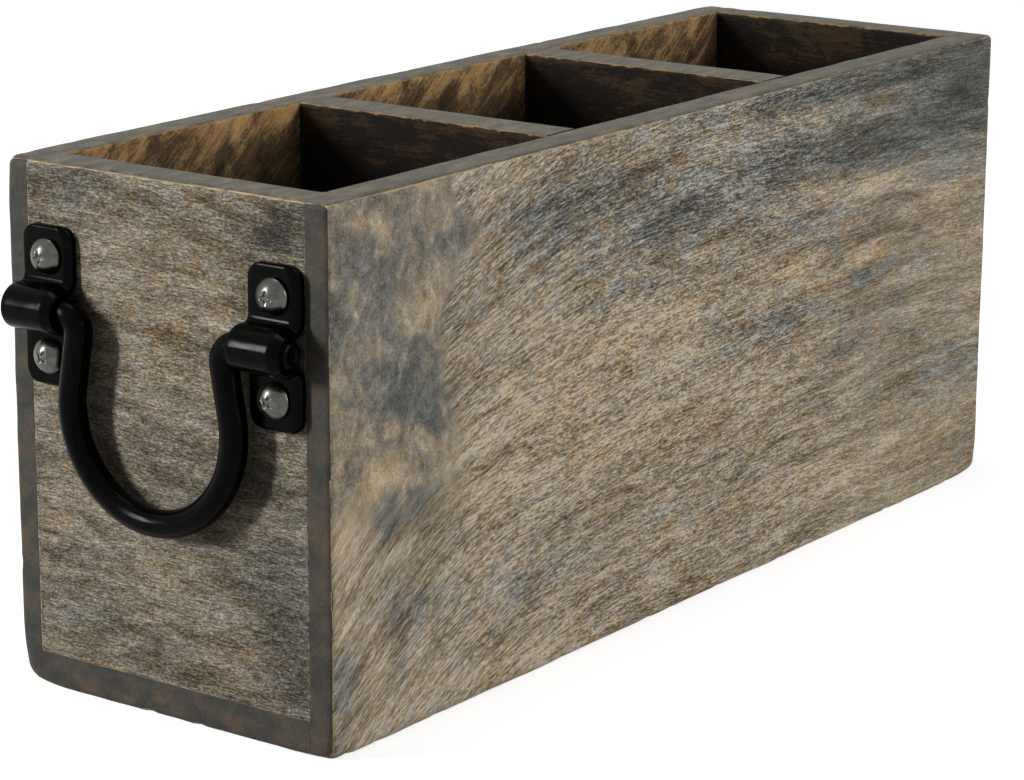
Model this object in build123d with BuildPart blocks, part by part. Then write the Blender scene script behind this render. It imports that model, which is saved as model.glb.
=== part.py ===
from build123d import *
import os
from math import cos, radians, sin

# A long open-topped wooden caddy with three compartments and an iron drop handle on each end.
# X runs along the box, Y across it, Z up. The origin is the middle of the base.

# ---------------------------------------------------------------- the box, in millimetres
length = 355.6             # outside, end to end
width = 114.3              # outside, across
height = 152.4             # base to rim
side_thickness = 12.0      # long walls
end_thickness = 12.7       # end walls
divider_thickness = 15.0   # cross walls between compartments
bottom_thickness = 10.3
lip = 8.0                  # end grain of a side board left beside the end board
divider_count = 2

outer_ease = 2.2           # rounding of the corners and edges that a hand meets
rim_ease = 1.4             # rounding of the inner edges of the rim

# ---------------------------------------------------------------- the handles
bar_diameter = 8.0         # round bar of the bail
bail_radius = 28.9         # of the bar's centre line, round the bottom of the bail
bail_drop = 53.9           # from the pin line down to the bar's centre line at the bottom
shoulder_radius = 5.0      # of the centre line, where a leg turns out into its pin
leg_lean = 10.0            # degrees, by which the legs close in towards the top
pivot_drop = 40.0          # from the rim down to the pin line
wall_gap = 1.7             # between the bar and the end face
pin_proud = 0.3            # how far a peened pin end stands out of its strap
pin_ease = 0.7             # bevel round the peened end

strap_thickness = 2.3
strap_width = 18.0         # along the pin
strap_height = 45.0        # of the whole plate, up the wall
strap_corner = 4.5         # rounding of the plate's corners
fold_radius = 2.0          # inside each fold where the plate turns out round the pin
running_clearance = 0.1    # radial, pin in strap
shoulder_gap = 0.35        # from a leg's shoulder to its strap

screw_spacing = 28.0       # between the two screws of a strap
screw_diameter = 5.0
screw_length = 12.0        # under the head
screw_tip = 4.0            # length of the point
head_diameter = 10.4
head_height = 3.8
head_rim = 0.7             # straight side of the head under its dome
recess_span = 5.4          # cross recess, tip to tip
recess_width = 1.2
recess_depth = 1.8
strap_hole_clearance = 0.3     # radial, screw in strap
pilot_clearance = 0.05         # radial, screw in wood
pilot_spare = 0.5              # depth of the pilot hole past the point

# ---------------------------------------------------------------- sizes that follow
half_length = length / 2
half_width = width / 2
inner_half_width = half_width - side_thickness      # to the inner face of a side board
rabbet_depth = side_thickness - lip
seat_half_width = inner_half_width + rabbet_depth   # to where the ends and the bottom stop
inner_half_length = half_length - end_thickness
compartment = (2 * inner_half_length - divider_count * divider_thickness) / (divider_count + 1)

pivot_height = height - pivot_drop
bar_radius = bar_diameter / 2
pivot_standoff = bar_radius + wall_gap              # pin line out from the end face
loop_inner = bar_radius + running_clearance
loop_outer = loop_inner + strap_thickness
leg_turn = 90 + leg_lean                            # degrees turned at each shoulder
leg_rise = 1 + sin(radians(leg_lean))
leg_length = (bail_drop - (bail_radius + shoulder_radius) * leg_rise) / cos(radians(leg_lean))
shoulder_end = (bail_radius + shoulder_radius) * cos(radians(leg_lean)) - leg_length * sin(
    radians(leg_lean)
)
strap_centre = shoulder_end + shoulder_gap + strap_width / 2
pin_end = strap_centre + strap_width / 2 + pin_proud
screw_radius = screw_diameter / 2
screw_reach = screw_length - strap_thickness        # of the screw into the wood
head_radius = head_diameter / 2
dome_height = head_height - head_rim
dome_radius = (head_radius**2 + dome_height**2) / (2 * dome_height)

ENDS = (("left", -1), ("right", 1))                 # the left end faces -X
SIDES = (("front", -1), ("back", 1))                # the front side board faces -Y


def end_face(sign):
    """Plane on an end of the box, from the middle of its pin line: local Z out, Y up, X across."""
    origin = (sign * half_length, 0, pivot_height)
    return Plane(origin=origin, x_dir=(0, sign, 0), z_dir=(sign, 0, 0))


def end_section(sign, across):
    """Upright plane through one end at Y = across, from its pin line: local X out, local Y up."""
    origin = (sign * half_length, across, pivot_height)
    return Plane(origin=origin, x_dir=(sign, 0, 0), z_dir=(0, -sign, 0))


os.makedirs("parts", exist_ok=True)


# ---------------------------------------------------------------- side boards
# Each long wall is one board at full length and height. A rabbet down each inner end edge seats an
# end board, and a rabbet along the inner bottom edge seats the bottom, so that only a thin lip of
# the side board's end grain shows beside them.
for side_name, side in SIDES:
    with BuildPart() as side_board:
        with BuildSketch():
            with Locations((0, side * (half_width - side_thickness / 2))):
                Rectangle(length, side_thickness)
        extrude(amount=height)
        with BuildSketch():
            with Locations((0, side * inner_half_width)):
                with GridLocations(length, 0, 2, 1):
                    Rectangle(2 * end_thickness, 2 * rabbet_depth)
        extrude(amount=height, mode=Mode.SUBTRACT)
        with BuildSketch():
            with Locations((0, side * inner_half_width)):
                Rectangle(length, 2 * rabbet_depth)
        extrude(amount=bottom_thickness, mode=Mode.SUBTRACT)
        outer_face = side_board.faces().sort_by(Axis.Y)[0 if side < 0 else -1]
        lip_ends = side_board.edges().filter_by(Axis.Y).group_by(Axis.X)
        fillet(outer_face.edges() + lip_ends[0] + lip_ends[-1], radius=outer_ease)
        rim_face = side_board.faces().filter_by(Axis.Z).sort_by(Axis.Z)[-1]
        inner_rim = rim_face.edges().filter_by(Axis.X).sort_by(Axis.Y)[-1 if side < 0 else 0]
        fillet(inner_rim, radius=rim_ease)
    side_board.part.label = f"{side_name}_side_board"
    export_step(side_board.part, f"parts/{side_name}_side_board.step")

# ---------------------------------------------------------------- bottom board
# One board at full length, let into the side boards. Its end grain shows under each end board.
with BuildPart() as bottom_board:
    with BuildSketch():
        Rectangle(length, 2 * seat_half_width)
    extrude(amount=bottom_thickness)
    lower_ends = bottom_board.edges().filter_by(Axis.Y).group_by(Axis.Z)[0]
    fillet(lower_ends, radius=outer_ease)
bottom_board.part.label = "bottom_board"
export_step(bottom_board.part, "parts/bottom_board.step")

# ---------------------------------------------------------------- end boards
# Each stands on the bottom board in the side boards' rabbets, and is drilled for the four screws
# of its handle.
for end_name, end in ENDS:
    with BuildPart() as end_board:
        with BuildSketch(Plane.XY.offset(bottom_thickness)):
            with Locations((end * (half_length - end_thickness / 2), 0)):
                Rectangle(end_thickness, 2 * seat_half_width)
        extrude(amount=height - bottom_thickness)
        rim_edges = end_board.edges().filter_by(Axis.Y).group_by(Axis.Z)[-1].sort_by(Axis.X)
        outer_rim = rim_edges[0 if end < 0 else -1]
        inner_rim = rim_edges[-1 if end < 0 else 0]
        fillet(outer_rim, radius=outer_ease)
        fillet(inner_rim, radius=rim_ease)
        with BuildSketch(end_face(end)):
            with GridLocations(2 * strap_centre, screw_spacing, 2, 2):
                Circle(screw_radius + pilot_clearance)
        extrude(amount=-(screw_reach + pilot_spare), mode=Mode.SUBTRACT)
    end_board.part.label = f"{end_name}_end_board"
    export_step(end_board.part, f"parts/{end_name}_end_board.step")

# ---------------------------------------------------------------- dividers
# They stand on the bottom board between the side boards and share out the inside evenly.
for number in range(divider_count):
    divider_name = ("left", "right")[number]
    divider_x = -inner_half_length + (number + 1) * compartment + (number + 0.5) * divider_thickness
    with BuildPart() as divider:
        with BuildSketch(Plane.XY.offset(bottom_thickness)):
            with Locations((divider_x, 0)):
                Rectangle(divider_thickness, 2 * inner_half_width)
        extrude(amount=height - bottom_thickness)
        fillet(divider.edges().filter_by(Axis.Y).group_by(Axis.Z)[-1], radius=rim_ease)
    divider.part.label = f"{divider_name}_divider"
    export_step(divider.part, f"parts/{divider_name}_divider.step")

# ---------------------------------------------------------------- handles
for end_name, end in ENDS:
    # The bail is one round bar, bent in a plane: a pin, a shoulder, a leg, the round bottom, and
    # back up to the other pin.
    with BuildPart() as bail:
        with BuildLine(end_face(end).offset(pivot_standoff)) as bail_line:
            first_pin = Line((-pin_end, 0), (-shoulder_end, 0))
            first_shoulder = JernArc(first_pin @ 1, first_pin % 1, shoulder_radius, -leg_turn)
            first_leg = Line(first_shoulder @ 1, first_shoulder @ 1 + leg_length * (first_shoulder % 1))
            bottom_bend = JernArc(first_leg @ 1, first_leg % 1, bail_radius, 2 * leg_turn)
            second_leg = Line(bottom_bend @ 1, bottom_bend @ 1 + leg_length * (bottom_bend % 1))
            second_shoulder = JernArc(second_leg @ 1, second_leg % 1, shoulder_radius, -leg_turn)
            Line(second_shoulder @ 1, (pin_end, 0))
        with BuildSketch(Plane(origin=bail_line.line @ 0, z_dir=bail_line.line % 0)):
            Circle(bar_radius)
        sweep()
        peened_ends = bail.faces().filter_by(Axis.Y).edges()
        chamfer(peened_ends, length=pin_ease)
    bail.part.label = f"{end_name}_bail"
    export_step(bail.part, f"parts/{end_name}_bail.step")

    for side_name, side in SIDES:
        # A strap is one flat iron plate whose middle is wrapped round the pin as a U. Both its
        # feet lie on the end face.
        with BuildPart() as strap:
            with BuildSketch(end_section(end, side * strap_centre)):
                with BuildLine():
                    CenterArc((pivot_standoff, 0), loop_outer, 0, 90)
                    FilletPolyline(
                        (pivot_standoff, loop_outer),
                        (strap_thickness, loop_outer),
                        (strap_thickness, strap_height / 2),
                        radius=fold_radius,
                    )
                    Line((strap_thickness, strap_height / 2), (0, strap_height / 2))
                    FilletPolyline(
                        (0, strap_height / 2),
                        (0, loop_inner),
                        (pivot_standoff, loop_inner),
                        radius=fold_radius + strap_thickness,
                    )
                    CenterArc((pivot_standoff, 0), loop_inner, 0, 90)
                    mirror(about=Plane.XZ)
                make_face()
            extrude(amount=strap_width / 2, both=True)
            thickness_edges = strap.edges().filter_by(Axis.X).group_by(Axis.Z)
            fillet(thickness_edges[0] + thickness_edges[-1], radius=strap_corner)
            with BuildSketch(end_face(end)):
                with Locations((end * side * strap_centre, 0)):
                    with GridLocations(0, screw_spacing, 1, 2):
                        Circle(screw_radius + strap_hole_clearance)
            extrude(amount=strap_thickness, mode=Mode.SUBTRACT)
        strap.part.label = f"{end_name}_{side_name}_strap"
        export_step(strap.part, f"parts/{end_name}_{side_name}_strap.step")

        for level_name, level in (("lower", -1), ("upper", 1)):
            # A round-head wood screw, with a plain shank in place of its thread.
            screw_up = level * screw_spacing / 2
            with BuildPart() as screw:
                with BuildSketch(end_section(end, side * strap_centre)):
                    with BuildLine():
                        Polyline(
                            (strap_thickness + head_height, screw_up),
                            (-screw_reach, screw_up),
                            (-screw_reach + screw_tip, screw_up + screw_radius),
                            (strap_thickness, screw_up + screw_radius),
                            (strap_thickness, screw_up + head_radius),
                            (strap_thickness + head_rim, screw_up + head_radius),
                        )
                        RadiusArc(
                            (strap_thickness + head_rim, screw_up + head_radius),
                            (strap_thickness + head_height, screw_up),
                            dome_radius,
                        )
                    make_face()
                screw_line = (0, side * strap_centre, pivot_height + screw_up)
                revolve(axis=Axis(screw_line, (end, 0, 0)))
                with BuildSketch(end_face(end).offset(strap_thickness + head_height)):
                    with Locations((end * side * strap_centre, screw_up)):
                        Rectangle(recess_span, recess_width)
                        Rectangle(recess_width, recess_span)
                extrude(amount=-recess_depth, mode=Mode.SUBTRACT)
            screw_name = f"{end_name}_{side_name}_{level_name}_screw"
            screw.part.label = screw_name
            export_step(screw.part, f"parts/{screw_name}.step")
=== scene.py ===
# %% [markdown]
# # A wooden caddy with iron drop handles
#
# The caddy is a long box with three open compartments, made of seven stained boards, and a black
# iron handle on each end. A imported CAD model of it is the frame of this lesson: it says where each
# part is and how the handles swing. Every board, strap, bar and screw is then made again as a
# surface with worn edges and its own finish, in the place of its CAD part.
#
# The lengths in the frame are metres. X runs along the box, Y across it and Z up.

import bpy
import numpy as np
from mathutils import Matrix, Vector


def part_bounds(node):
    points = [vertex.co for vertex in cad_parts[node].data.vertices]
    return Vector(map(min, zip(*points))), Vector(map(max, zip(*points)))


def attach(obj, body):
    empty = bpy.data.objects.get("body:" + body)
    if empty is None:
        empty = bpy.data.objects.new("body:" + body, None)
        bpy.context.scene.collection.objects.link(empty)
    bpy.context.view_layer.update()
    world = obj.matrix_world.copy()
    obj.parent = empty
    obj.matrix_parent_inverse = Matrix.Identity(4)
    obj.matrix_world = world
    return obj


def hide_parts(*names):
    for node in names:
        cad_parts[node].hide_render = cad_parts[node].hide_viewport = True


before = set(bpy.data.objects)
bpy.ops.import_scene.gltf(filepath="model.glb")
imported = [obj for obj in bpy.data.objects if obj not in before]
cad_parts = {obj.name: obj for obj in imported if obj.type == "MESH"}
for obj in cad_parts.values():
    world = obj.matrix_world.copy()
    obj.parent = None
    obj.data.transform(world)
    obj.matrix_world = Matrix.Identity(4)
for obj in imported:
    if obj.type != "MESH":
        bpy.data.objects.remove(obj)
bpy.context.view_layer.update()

# %% [markdown]
# ## Sizes
#
# The sizes could be typed in again, but then they could disagree with the CAD. Here they are read
# from the boxes round its parts, so each new surface lands exactly on its old place.

# %% Read the sizes of the box
mm = 0.001


def part_box(node):
    """The lowest and the highest corner of a CAD part, as two arrays."""
    low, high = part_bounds(node)
    return np.array(low), np.array(high)


front_low, front_high = part_box("front_side_board")
bottom_low, bottom_high = part_box("bottom_board")
end_low, end_high = part_box("left_end_board")
half_length, half_width, height = front_high[0], -front_low[1], front_high[2]
inner_half_width = -front_high[1]    # to the inner face of a side board
inner_half_length = -end_high[0]     # to the inner face of an end board
seat_half_width = bottom_high[1]     # to where the ends and the bottom stop in the side boards
bottom_thickness = bottom_high[2]
block_low = np.array([-half_length, -half_width, 0.0])
block_high = np.array([half_length, half_width, height])
print("box", np.round((block_high - block_low) / mm, 1), "mm")

# %% [markdown]
# ## The camera
#
# A photograph taken from near by shows strong perspective, so the camera has to stand where the
# photographer's did. Its place and direction were found by laying the corners of the box over
# those in the picture. A small roll is left in, because the picture was not quite level.

# %% Set up the camera
camera_place = Vector((-0.8465, -0.6016, 0.3300))
camera_aim = Vector((0.7823, 0.5686, -0.2543)).normalized()
camera_roll = np.radians(0.19)
focal_pixels, frame_pixels = 3431, 1024

camera_data = bpy.data.cameras.new("camera")
camera_data.sensor_width = 36
camera_data.lens = focal_pixels / frame_pixels * camera_data.sensor_width
camera_data.clip_end = 20
camera = bpy.data.objects.new("camera", camera_data)
bpy.context.scene.collection.objects.link(camera)
level = camera_aim.cross(Vector((0, 0, 1))).normalized()
upright = level.cross(camera_aim)
camera_right = level * np.cos(camera_roll) + upright * np.sin(camera_roll)
camera_up = upright * np.cos(camera_roll) - level * np.sin(camera_roll)
camera.matrix_world = Matrix((camera_right, camera_up, -camera_aim)).transposed().to_4x4()
camera.matrix_world.translation = camera_place
bpy.context.scene.camera = camera
bpy.context.scene.view_settings.view_transform = "Standard"
print("lens", round(camera_data.lens, 1), "mm")

# %% [markdown]
# ## Shader nodes in few words
#
# Every finish below is a small tree of nodes. A few helpers keep those trees readable: they add a
# node and join it up, stretch coordinates into a noise, turn a number into a colour and lead the
# results to the shader. Colours are written as they look on a screen, from 0 to 255.

# %% Helpers for finishes
def screen(red, green, blue):
    """A colour as a screen shows it, 0 to 255, turned into the linear light that Blender uses."""
    shown = np.array([red, green, blue]) / 255
    linear = np.where(shown <= 0.04045, shown / 12.92, ((shown + 0.055) / 1.055) ** 2.4)
    return (*linear.tolist(), 1.0)


def feed(tree, node, inputs):
    """Give inputs, by name or number, a value or another node's output."""
    for socket, value in inputs.items():
        if isinstance(value, bpy.types.NodeSocket):
            tree.links.new(value, node.inputs[socket])
        else:
            node.inputs[socket].default_value = value


def add_node(tree, kind, inputs, **settings):
    """One shader node with its inputs and settings."""
    made = tree.nodes.new("ShaderNode" + kind)
    for field, value in settings.items():
        setattr(made, field, value)
    feed(tree, made, inputs)
    return made


def calculate(tree, operation, first, second=0.5, third=0.0, clamp=False):
    """One step of arithmetic on numbers."""
    inputs = {0: first, 1: second, 2: third}
    return add_node(tree, "Math", inputs, operation=operation, use_clamp=clamp).outputs[0]


def cloud(tree, place, size, detail=2.0, distortion=0.0, seed=0.0):
    """Noise about 0 to 1, whose features measure size = (x, y, z) in millimetres."""
    scale = tuple(1 / (length * mm) for length in size)
    shift = (seed, 0.7 * seed, 0.3 * seed)
    stretched = add_node(tree, "Mapping", {"Vector": place, "Location": shift, "Scale": scale})
    inputs = {"Vector": stretched.outputs[0], "Scale": 1.0, "Detail": detail, "Distortion": distortion}
    return add_node(tree, "TexNoise", inputs, noise_dimensions="3D").outputs["Fac"]


def between(tree, value, low, high, new_low=0.0, new_high=1.0):
    """0 below low and 1 above high, with a smooth rise from one to the other."""
    inputs = {"Value": value, "From Min": low, "From Max": high, "To Min": new_low, "To Max": new_high}
    return add_node(tree, "MapRange", inputs, interpolation_type="SMOOTHSTEP").outputs[0]


def sway(tree, tone, noise, amount):
    """The tone moved up and down by a noise: tone + amount * (noise - 0.5)."""
    return calculate(tree, "MULTIPLY_ADD", calculate(tree, "SUBTRACT", noise, 0.5), amount, tone)


def blend(tree, amount, first, second):
    """The first colour where amount is 0 and the second where it is 1."""
    return add_node(tree, "Mix", {0: amount, 6: first, 7: second}, data_type="RGBA").outputs[2]


def mixed(tree, amount, first, second):
    """The first number where amount is 0 and the second where it is 1."""
    return add_node(tree, "Mix", {0: amount, 2: first, 3: second}, data_type="FLOAT").outputs[0]


def along_stops(tree, value, stops):
    """The colour at a number from 0 to 1, on a line of stops, each a place and a screen colour."""
    made = add_node(tree, "ValToRGB", {0: value})
    elements = made.color_ramp.elements
    while len(elements) < len(stops):
        elements.new(0.5)
    for element, (place, colour) in zip(elements, stops):
        element.position, element.color = place, screen(*colour)
    return made.outputs[0]


def attribute(tree, name, output="Fac"):
    """A number or vector that a piece's mesh carries at each of its points."""
    return add_node(tree, "Attribute", {}, attribute_name=name).outputs[output]


def new_finish(name):
    """An empty finish: the material, its node tree and its Principled shader."""
    material = bpy.data.materials.new(name)
    material.use_nodes = True
    return material, material.node_tree, material.node_tree.nodes["Principled BSDF"]


def object_place(tree):
    """The place of a point in its object, which for every piece here is its place in the frame."""
    return add_node(tree, "TexCoord", {}).outputs["Object"]


def dress(tree, shader, colour, noise, roughness, gloss, relief, strength, depth):
    """Lead the parts of a finish to its shader: a colour, a roughness that goes from one number to
    another with a noise, the gloss seen face on, and a relief of a strength and a depth in mm."""
    bump = add_node(tree, "Bump", {"Height": relief, "Strength": strength, "Distance": depth * mm})
    feed(tree, shader, {"Base Color": colour, "Roughness": between(tree, noise, 0.3, 0.7, *roughness),
                        "Specular IOR Level": gloss, "Normal": bump.outputs[0]})


# %% [markdown]
# ## Floor, backdrop and light
#
# The caddy stands on white, with a soft shadow under its right side. Turning the lamps up until
# the floor clips would wash the wood out. So the lamps stay plain, and the floor adds a little
# light of its own, but only for what the camera or a reflection sees. To the light that it throws
# back at the caddy it is a darker grey, which keeps the shadows under the handles deep. The world
# round it is white for the same rays, and nearly dark for the light that falls on the caddy.

# %% Make the floor and the world
scene = bpy.context.scene


def seen_directly(tree):
    """1 for a camera, glossy or transmission ray, and 0 for light on its way to a surface."""
    rays = add_node(tree, "LightPath", {}).outputs
    mirrored = calculate(tree, "MAXIMUM", rays["Is Glossy Ray"], rays["Is Transmission Ray"])
    return calculate(tree, "MAXIMUM", rays["Is Camera Ray"], mirrored)


floor_half = 4.0
floor_corners = np.array([(-1, -1, 0), (1, -1, 0), (1, 1, 0), (-1, 1, 0)]) * floor_half
floor_mesh = bpy.data.meshes.new("floor")
floor_mesh.from_pydata(floor_corners.tolist(), [], [(0, 1, 2, 3)])
floor = bpy.data.objects.new("floor", floor_mesh)
scene.collection.objects.link(floor)

floor_finish, tree, shader = new_finish("white_floor")
direct = seen_directly(tree)
lit_grey, seen_grey, floor_glow = 0.26, 0.6, 0.75
feed(tree, shader, {"Base Color": between(tree, direct, 0, 1, lit_grey, seen_grey),
                    "Roughness": 0.9, "Specular IOR Level": 0.1})
glow = add_node(tree, "Emission", {"Strength": calculate(tree, "MULTIPLY", direct, floor_glow)})
both = add_node(tree, "AddShader", {0: shader.outputs[0], 1: glow.outputs[0]})
feed(tree, tree.nodes["Material Output"], {"Surface": both.outputs[0]})
floor_mesh.materials.append(floor_finish)

world = bpy.data.worlds.new("studio")
world.use_nodes = True
tree = world.node_tree
world_level = 0.06
strength = calculate(tree, "MULTIPLY_ADD", seen_directly(tree), 1 - world_level, world_level)
feed(tree, tree.nodes["Background"], {"Color": (1, 1, 1, 1), "Strength": strength})
scene.world = world
print("floor reaches", floor_half, "m each way")

# %% [markdown]
# The shadows of the bails fall straight to the right on the end board, and they are nearly black.
# The highlights on the iron say how large the main light is: a tall panel to the left of that end.
# A wider one lights the long side and one overhead the rim. Both stand behind the plane of the
# end, where they put no light into those shadows.

# %% Hang the lamps
def hang_panel(name, place, aim, size, power):
    """A lamp of the given width and height in metres, turned to face the point it is aimed at."""
    lamp = bpy.data.lights.new(name, "AREA")
    lamp.shape = "RECTANGLE"
    lamp.size, lamp.size_y = size
    lamp.energy = power
    holder = bpy.data.objects.new(name, lamp)
    scene.collection.objects.link(holder)
    facing = (Vector(aim) - Vector(place)).to_track_quat("-Z", "Y")
    holder.matrix_world = Matrix.Translation(place) @ facing.to_matrix().to_4x4()


hang_panel("key_panel", (-1.37, 0.99, 0.67), (-0.18, 0.0, 0.1), (0.18, 0.66), 27)
hang_panel("side_panel", (0.45, -2.2, 0.85), (0.0, 0.0, 0.08), (1.3, 1.3), 32)
hang_panel("top_panel", (0.15, 0.25, 1.9), (0.0, 0.0, 0.1), (0.8, 0.8), 9)

# %% [markdown]
# ## Roughness that can be planned
#
# Hand-finished wood has no perfectly straight edge. The unevenness has to be smooth and random,
# yet the same in every run and the same on two boards where they meet. A seeded lattice of random
# numbers, smoothly mixed, gives that: it is a function of the place in space alone.

# %% Smooth seeded noise
def uneven(points, size, seed):
    """Smooth random numbers from -1 to 1 at the points, with features of a size in millimetres.

    The corners of a lattice of cells carry random numbers. A point mixes the eight round it, each
    weighted by the product over x, y and z of t or 1 - t, where t = 3p^2 - 2p^3 and p is how far
    through its cell the point lies."""
    table_side = 32
    table = np.random.default_rng(seed).uniform(-1, 1, (table_side,) * 3)
    cell = np.floor(points / (size * mm)).astype(int)
    part = points / (size * mm) - cell
    part = part * part * (3 - 2 * part)
    total = np.zeros(len(points))
    for corner in np.ndindex(2, 2, 2):
        x, y, z = ((cell + corner) % table_side).T
        total += table[x, y, z] * np.where(corner, part, 1 - part).prod(axis=1)
    return total


def rise(value, low, high):
    """0 below low, 1 above high, and the smooth step 3t^2 - 2t^3 between them."""
    t = np.clip((value - low) / (high - low), 0, 1)
    return t * t * (3 - 2 * t)


# %% [markdown]
# ## The skin of a board
#
# A board with rabbets is a stack of little cells with some left out. Modelling tools would cut
# it from a cube, but then its faces are few and large, and an edge can't wear unevenly along its
# length. Here a board is a lattice: lines close together near its edges, a mask that says which
# cells are wood, and a quad wherever a cell of wood meets an empty one. Each side of the board is
# then a grid of two parameters, and all of them share the points along their seams.

# %% Lattice lines and their skin
edge_lines = np.array([0, 0.22, 0.5, 0.85, 1.3, 1.85, 2.5, 3.4, 4.6]) * mm
joint_lines = np.array([0, 0.2, 0.5]) * mm
board_step = 2.6 * mm


def lattice_lines(low, high, joints):
    """Lines from low to high: crowded near both ends and each joint, and a step apart between."""
    reach = (high - low) / 2
    crowd = edge_lines[edge_lines < 0.8 * reach]
    count = max(int(np.ceil((high - low - 2 * crowd[-1]) / board_step)), 1)
    middle = np.linspace(low + crowd[-1], high - crowd[-1], count + 1)[1:-1]
    beside_joints = [joint + np.r_[-joint_lines, joint_lines] for joint in joints]
    placed = np.concatenate([(low, high), *beside_joints])
    middle = middle[np.abs(middle[:, None] - placed).min(axis=1) > board_step / 3]
    every = np.concatenate([low + crowd, middle, high - crowd, placed])
    return np.unique(np.round(every[(every >= low) & (every <= high)], 7))


def skin(xs, ys, zs, wood):
    """The points and outward quads of the skin round a block's cells of wood.

    Lattice point (i, j, k) stands at (xs[i], ys[j], zs[k]). Along each axis, the difference from
    one cell to the next is +1 where wood begins and -1 where it ends, and a quad stands there."""
    padded = np.pad(wood, 1).astype(int)
    number = np.arange(len(xs) * len(ys) * len(zs)).reshape(len(xs), len(ys), len(zs))
    quads = []
    for axis in range(3):
        others = [other for other in range(3) if other != axis]
        change = np.diff(padded, axis=axis)
        for other in others:
            change = change.take(range(1, change.shape[other] - 1), axis=other)
        for value in (-1, 1):
            first = np.argwhere(change == value)
            corners = np.repeat(first[:, None, :], 4, axis=1)
            corners[:, 1:3, others[0]] += 1
            corners[:, 2:4, others[1]] += 1
            quad = number[corners[..., 0], corners[..., 1], corners[..., 2]]
            turned = (value == 1) != (axis == 1)
            quads.append(quad[:, ::-1] if turned else quad)
    used, quads = np.unique(np.concatenate(quads), return_inverse=True)
    points = np.stack(np.meshgrid(xs, ys, zs, indexing="ij"), axis=-1).reshape(-1, 3)[used]
    return points, quads.reshape(-1, 4)


def ease(points, low, high, radius):
    """The points with the edges and corners of a block rounded to a radius, given for each point.

    A point outside the block that is smaller by the radius is drawn towards the nearest point of
    that block, until it is no farther from it than the radius. Nothing moves outwards."""
    radius = np.broadcast_to(radius, len(points))[:, None]
    core = np.clip(points, low + radius, high - radius)
    away = points - core
    distance = np.maximum(np.linalg.norm(away, axis=1, keepdims=True), 1e-12)
    return core + away * np.minimum(1, radius / distance)


# %% [markdown]
# ## Wear
#
# Handling rounds the outer edges of the box more in some places than in others, chips them here
# and there, and knocks the bottom corners rounder still. As one radius over all of space this is
# shared by every board, so the wear runs on across the joints.

# %% How far an outer edge is rounded
outer_ease = 2.0 * mm
rim_ease = 1.3 * mm
joint_ease = 0.3 * mm
knocked = (    # corner of the box as signs, extra radius and reach in mm
    ((-1, 1, -1), 3.4, 9), ((-1, -1, -1), 1.6, 7), ((1, -1, -1), 2.2, 8),
    ((1, 1, -1), 2.8, 8), ((-1, 1, 1), 1.0, 8), ((1, 1, 1), 1.4, 6),
)
chip_depth = 1.1 * mm


def worn_radius(points):
    """The radius of the outer edges at each point.

    A mean radius times 1 plus slow noise, plus a chip wherever quick noise passes a threshold,
    plus a bump of extra radius round each knocked corner."""
    radius = outer_ease * (1 + 0.28 * uneven(points, 21, 1) + 0.16 * uneven(points, 6, 2))
    radius += chip_depth * rise(uneven(points, 4.5, 3), 0.45, 0.85)
    for signs, extra, reach in knocked:
        corner = np.where(np.array(signs) > 0, block_high, block_low)
        away = np.linalg.norm(points - corner, axis=1)
        radius += extra * mm * np.exp(-(away / (reach * mm)) ** 2)
    return radius


# %% [markdown]
# ## What the wood tells its finish
#
# A finish can read numbers from the points of a mesh. Each board carries four: the grain, which is
# a place along and across the fibres, how near a point is to a worn edge, how much more or less
# stain it took, with painted shade and light on its inside faces, and how free of saw marks it is.
# The grain of a long side bends round a knot near its left end, where the fibres climb steeply, and
# it flattens along the board.

# %% Grain, wear and stain at each point
def patches(u, v, spots):
    """The sum of soft elliptic spots, each strength times exp(-d^2), d counted in its own radii."""
    total = np.zeros(len(u))
    for middle_u, middle_v, radius_u, radius_v, strength in spots:
        away_u, away_v = (u - middle_u * mm) / (radius_u * mm), (v - middle_v * mm) / (radius_v * mm)
        total += strength * np.exp(-(away_u**2 + away_v**2))
    return total


knot_reach = 60 * mm
knot_climb = 22 * mm
knot_from = -120 * mm


def long_grain(points, mirror):
    """Grain of a side board: x along it, z across it bent up by climb * exp(-(x - from) / reach).
    The back board is the front one turned round, so its mirror is -1."""
    x, y, z = (points * (mirror, 1, 1)).T
    wave = 2.2 * mm * uneven(points, 62, 11) + 0.7 * mm * uneven(points, 23, 12)
    bent = z + knot_climb * np.exp(-(x - knot_from) / knot_reach) + wave
    return np.stack([x, bent, y], axis=1)


def cross_grain(points):
    """Grain of an end board or divider: y along it and z across it, in slow waves."""
    x, y, z = points.T
    return np.stack([y, z + 1.6 * mm * uneven(points, 38, 13), x], axis=1)


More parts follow.
